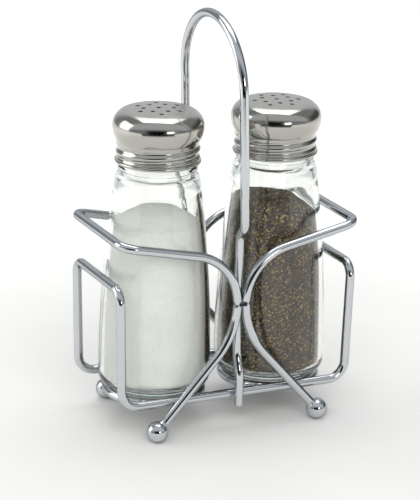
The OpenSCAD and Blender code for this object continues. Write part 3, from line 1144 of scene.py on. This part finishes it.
@dataclass
class Heap:
    """The grains in one glass, up to a rounded heap with loose grains on it."""

    glass: ShakerGlass
    finish: Finish
    grain: Grain
    top: float
    heap_r: float
    heap_x: float
    grain_mm: float
    spacing_mm: float
    grains_per_m2: float = 6.0e6
    gap: float = 0.15
    foot_gap: float = 0.25
    lump: float = 0.35
    sides: int = 144

    def surface_h(self, x: Grid, y: Grid) -> Grid:
        """Returns the height of the heap's surface."""
        reach = np.maximum(self.heap_r**2 - (x - self.heap_x) ** 2 - y**2, 1)
        round_h = self.top - self.heap_r + np.sqrt(reach)
        slow = np.sin(0.41 * x + 1.1) * np.cos(0.37 * y - 0.4) + 0.5 * np.sin(0.93 * x - 0.71 * y + 2.0)
        fine = np.sin(2.9 * x + 1.3 * y) * np.sin(2.3 * y - 1.7 * x + 0.6)
        return round_h - self.lump * (1 + 0.55 * slow) + 0.12 * fine

    def build(self) -> None:
        """Builds the mass of grains and scatters loose grains over it."""
        glass = self.glass
        inset = glass.wall + self.gap
        foot = glass.floor + self.gap + self.foot_gap
        corner = glass.floor_corner
        rows = 46
        bottom = arc(glass.side_r(foot + corner, inset) - corner, foot + corner, corner, -90, -8, 12)
        profile = [(0.0, foot), (bottom[0][0] * 0.5, foot), *bottom]
        profile += [(1.0, float(i)) for i in range(rows)]
        profile += [(1.0 - f, -1.0) for f in np.linspace(0.02, 0.98, 44)] + [(0.0, -1.0)]
        first = len(bottom) + 2

        def shape(radius: Grid, height: Grid, turn: Grid) -> tuple[Grid, Grid]:
            """Draws the side up to the heap's edge and then lays the heap's surface."""
            low = foot + corner + 0.6
            edge_r = glass.side_r(self.top - 5, inset) - 0.1
            edge_h = self.surface_h(edge_r * np.cos(turn), edge_r * np.sin(turn))
            side = slice(first, first + rows)
            share = height[side] / (rows - 1)
            height[side] = low + share * (edge_h[side] - 0.15 - low)
            reach = (glass.belly_r - inset) ** 2 - (height[side] - glass.belly_h) ** 2
            radius[side] = glass.base_r - glass.belly_r + np.sqrt(reach) - 0.09
            rim_r = radius[first + rows - 1]
            crown = slice(first + rows, None)
            radius[crown] = radius[crown] * rim_r
            r, a = radius[crown], turn[crown]
            height[crown] = self.surface_h(r * np.cos(a), r * np.sin(a))
            return radius, height

        vertices, faces = lathe(profile, glass.centre, self.sides, shape)
        mesh = as_mesh(glass.name + "_mass", vertices, faces)
        body = glass.name + "_contents"
        piece = finish_piece(f"{glass.name}_mass", mesh, self.finish, body, [glass.name + "_fill"])
        loose = grow(glass.name + "_loose", piece.data, grain_tree(self.grain), {
            "Grain size": self.grain_mm * MM, "Spacing": self.spacing_mm * MM, "Density": self.grains_per_m2,
            "Seed": 11, "Finish": self.finish.material()})
        self.trim(loose)
        finish_piece(f"{glass.name}_loose_grains", loose, self.finish, body)

    def trim(self, mesh: Mesh) -> None:
        """Takes away the loose grains that would touch the glass."""
        glass = self.glass
        shape = bmesh.new()
        shape.from_mesh(mesh)
        outside = set()
        for v in shape.verts:
            flat = Vector((v.co.x - glass.centre.x, v.co.y)).length / MM
            height = (v.co.z - glass.centre.z) / MM
            if flat > glass.side_r(height, glass.wall + self.gap) - 0.12:
                outside.add(v)
        doomed = set()
        while outside:
            v = outside.pop()
            doomed.add(v)
            outside.update(o for e in v.link_edges if (o := e.other_vert(v)) not in doomed)
        bmesh.ops.delete(shape, geom=list(doomed), context="VERTS")
        shape.to_mesh(mesh)
        shape.free()


# ---- The studio ----


@dataclass(frozen=True)
class Softbox:
    """An area light: its direction from the object, in degrees, with its distance and size in metres.

    One that isn't mirrored gives its light and doesn't show in gloss.
    """

    name: str
    azimuth: float
    elevation: float
    distance: float
    width: float
    height: float
    watts: float
    mirrored: bool = True


@dataclass(frozen=True)
class Card:
    """A part of the room with its own light: its direction, half sizes and soft edge, in degrees."""

    azimuth: float
    elevation: float
    half_width: float
    half_height: float
    soft: float
    light: float


@dataclass
class Studio:
    """The floor, the lights, the room that the chrome mirrors, and the camera."""

    azimuth: float = -25.5
    elevation: float = 17.85
    roll: float = 1.5
    distance: float = 1.107
    aim: Place = (-0.0022, 0.0, 0.0756)
    lens: float = 179.0
    floor_r: float = 5.0
    room: str = "#DCE0E4"
    room_strength: float = 0.4
    softboxes: tuple[Softbox, ...] = (
        Softbox("top_softbox", 150.0, 78.0, 1.3, 1.2, 0.9, 9.0),
        Softbox("left_softbox", -118.0, 20.0, 1.3, 0.8, 0.85, 4.6),
        Softbox("window", 5.0, 13.0, 1.6, 0.42, 0.3, 1.9),
        Softbox("front_fill", -25.0, 30.0, 1.8, 1.8, 1.0, 28.0, mirrored=False),
    )
    cards: tuple[Card, ...] = (
        Card(154.5, 12.0, 34.0, 34.0, 14.0, 1.0),
        Card(95.0, 10.0, 24.0, 12.0, 8.0, 0.12),
        Card(-25.0, 56.0, 80.0, 24.0, 10.0, 0.85),
        Card(-27.0, 8.0, 26.0, 18.0, 10.0, 0.0),
    )
    flag_near: float = 0.4
    flag_far: float = 4.0
    flag_half: float = 40.0

    @staticmethod
    def direction(azimuth: float, elevation: float) -> Vector:
        """Returns the unit vector towards a direction; azimuth 0 is the front and 90 the pepper side."""
        a, e = math.radians(azimuth), math.radians(elevation)
        return Vector((math.sin(a) * math.cos(e), -math.cos(a) * math.cos(e), math.sin(e)))

    def axes(self, azimuth: float, elevation: float) -> tuple[Vector, Vector, Vector]:
        """Returns right, up and back for something that looks at the object from a direction."""
        back = self.direction(azimuth, elevation)
        right = Vector((0, 0, 1)).cross(back).normalized()
        return right, back.cross(right), back

    def station(self, azimuth: float, elevation: float, distance: float, roll: float = 0.0) -> Matrix:
        """Returns the place of something that looks at the object, rolled by some degrees."""
        right, up, back = self.axes(azimuth, elevation)
        r = math.radians(roll)
        right, up = right * math.cos(r) + up * math.sin(r), up * math.cos(r) - right * math.sin(r)
        place = Matrix((right, up, back)).transposed().to_4x4()
        place.translation = Vector(self.aim) + back * distance
        return place

    def camera(self) -> None:
        """Sets up the camera at the object's usual three-quarter view, a little above it."""
        data = bpy.data.cameras.new("camera")
        data.lens = self.lens
        data.sensor_width = 36.0
        data.clip_start = 0.05
        camera = into_scene("camera", data)
        camera.matrix_world = self.station(self.azimuth, self.elevation, self.distance, self.roll)
        bpy.context.scene.camera = camera

    def floor(self) -> None:
        """Adds the pale floor."""
        steps = 96
        ring = [(self.floor_r * math.cos(TURN * i / steps), self.floor_r * math.sin(TURN * i / steps), 0)
                for i in range(steps)]
        mesh = bpy.data.meshes.new("floor")
        mesh.from_pydata([(0, 0, 0), *ring], [], [(0, i + 1, (i + 1) % steps + 1) for i in range(steps)])
        mesh.materials.append(PaleFloor().material())
        floor = into_scene("floor", mesh)

    def flag(self) -> None:
        """Adds the black flag that lies in front, just over the floor, and shows only in gloss."""
        steps, lift = 24, 0.002
        first = self.azimuth - self.flag_half
        turns = [math.radians(first + 2 * self.flag_half * i / steps) for i in range(steps + 1)]
        ring = [(r * math.sin(a), -r * math.cos(a), lift)
                for r in (self.flag_near, self.flag_far) for a in turns]
        mesh = bpy.data.meshes.new("black_flag")
        mesh.from_pydata(ring, [], [(i, i + 1, i + steps + 2, i + steps + 1) for i in range(steps)])
        mesh.materials.append(BlackFlock().material())
        flag = into_scene("black_flag", mesh)
        flag.visible_camera = flag.visible_diffuse = flag.visible_shadow = flag.visible_transmission = False

    def lights(self) -> None:
        """Adds the softboxes."""
        for box in self.softboxes:
            data = bpy.data.lights.new(box.name, "AREA")
            data.shape = "RECTANGLE"
            data.size, data.size_y = box.width, box.height
            data.energy = box.watts
            light = into_scene(box.name, data)
            light.matrix_world = self.station(box.azimuth, box.elevation, box.distance)
            light.visible_camera = False
            light.visible_glossy = box.mirrored

    def card_mask(self, tree: Tree, ray: Socket, card: Card) -> Socket:
        """Returns the socket with how much of a direction a card covers."""
        right, up, back = self.axes(card.azimuth, card.elevation)

        def along(axis: Vector) -> Socket:
            """Returns the socket with how far the direction goes along an axis."""
            node = add(tree, "ShaderNodeVectorMath", {0: ray, 1: axis}, operation="DOT_PRODUCT")
            return node.outputs["Value"]

        ahead = along(back)
        keep = []
        for axis, half in ((right, card.half_width), (up, card.half_height)):
            angle = add(tree, "ShaderNodeMath", {0: along(axis), 1: ahead}, operation="ARCTAN2")
            away = add(tree, "ShaderNodeMath", {0: angle.outputs["Value"]}, operation="ABSOLUTE")
            edge = (math.radians(half - card.soft), math.radians(half + card.soft))
            keep.append(remap(tree, away.outputs["Value"], edge, (1.0, 0.0), soft=True))
        return add(tree, "ShaderNodeMath", {0: keep[0], 1: keep[1]}, operation="MULTIPLY").outputs["Value"]

    def world(self) -> None:
        """Sets up the room: a pale tent with bright and dark cards, and plain white behind the floor."""
        world = bpy.data.worlds.new("studio")
        world.use_nodes = True
        tree = world.node_tree
        ray = add(tree, "ShaderNodeTexCoord").outputs["Generated"]
        light = add(tree, "ShaderNodeMath", {0: self.room_strength, 1: 0.0}).outputs["Value"]
        for card in self.cards:
            cover = self.card_mask(tree, ray, card)
            mixed = add(tree, "ShaderNodeMix", {"Factor": cover, "A": light, "B": card.light})
            light = mixed.outputs["Result"]
        room = tree.nodes["Background"]
        room.inputs["Color"].default_value = linear(self.room)
        tree.links.new(light, room.inputs["Strength"])
        plain = add(tree, "ShaderNodeBackground", {"Color": linear("#FFFFFF"), "Strength": 1.0})
        seen = add(tree, "ShaderNodeLightPath").outputs["Is Camera Ray"]
        mix = add(tree, "ShaderNodeMixShader", {
            0: seen, 1: room.outputs["Background"], 2: plain.outputs["Background"]})
        tree.links.new(mix.outputs["Shader"], tree.nodes["World Output"].inputs["Surface"])
        bpy.context.scene.world = world

    def build(self) -> None:
        """Builds the studio."""
        self.camera()
        self.floor()
        self.flag()
        self.lights()
        self.world()
        bpy.context.scene.view_settings.view_transform = "Standard"


def main() -> None:
    """Builds the studio, the caddy and the two shakers."""
    logging.basicConfig(level=logging.INFO, format="%(message)s")
    Studio().build()
    WireCaddy().build()
    salt = ShakerGlass("salt")
    pepper = ShakerGlass("pepper")
    for glass in (salt, pepper):
        glass.build()
    ScrewCap("salt", salt, first_hole=13).build()
    ScrewCap("pepper", pepper, first_hole=47).build()
    Heap(salt, SALT, Grain.CUBE, top=81.8, heap_r=33, heap_x=0, grain_mm=0.42, spacing_mm=0.42,
         lump=0.12).build()
    Heap(pepper, PEPPER, Grain.CHIP, top=84.5, heap_r=36, heap_x=-6, grain_mm=0.75, spacing_mm=0.45).build()


if __name__ == "__main__":
    main()
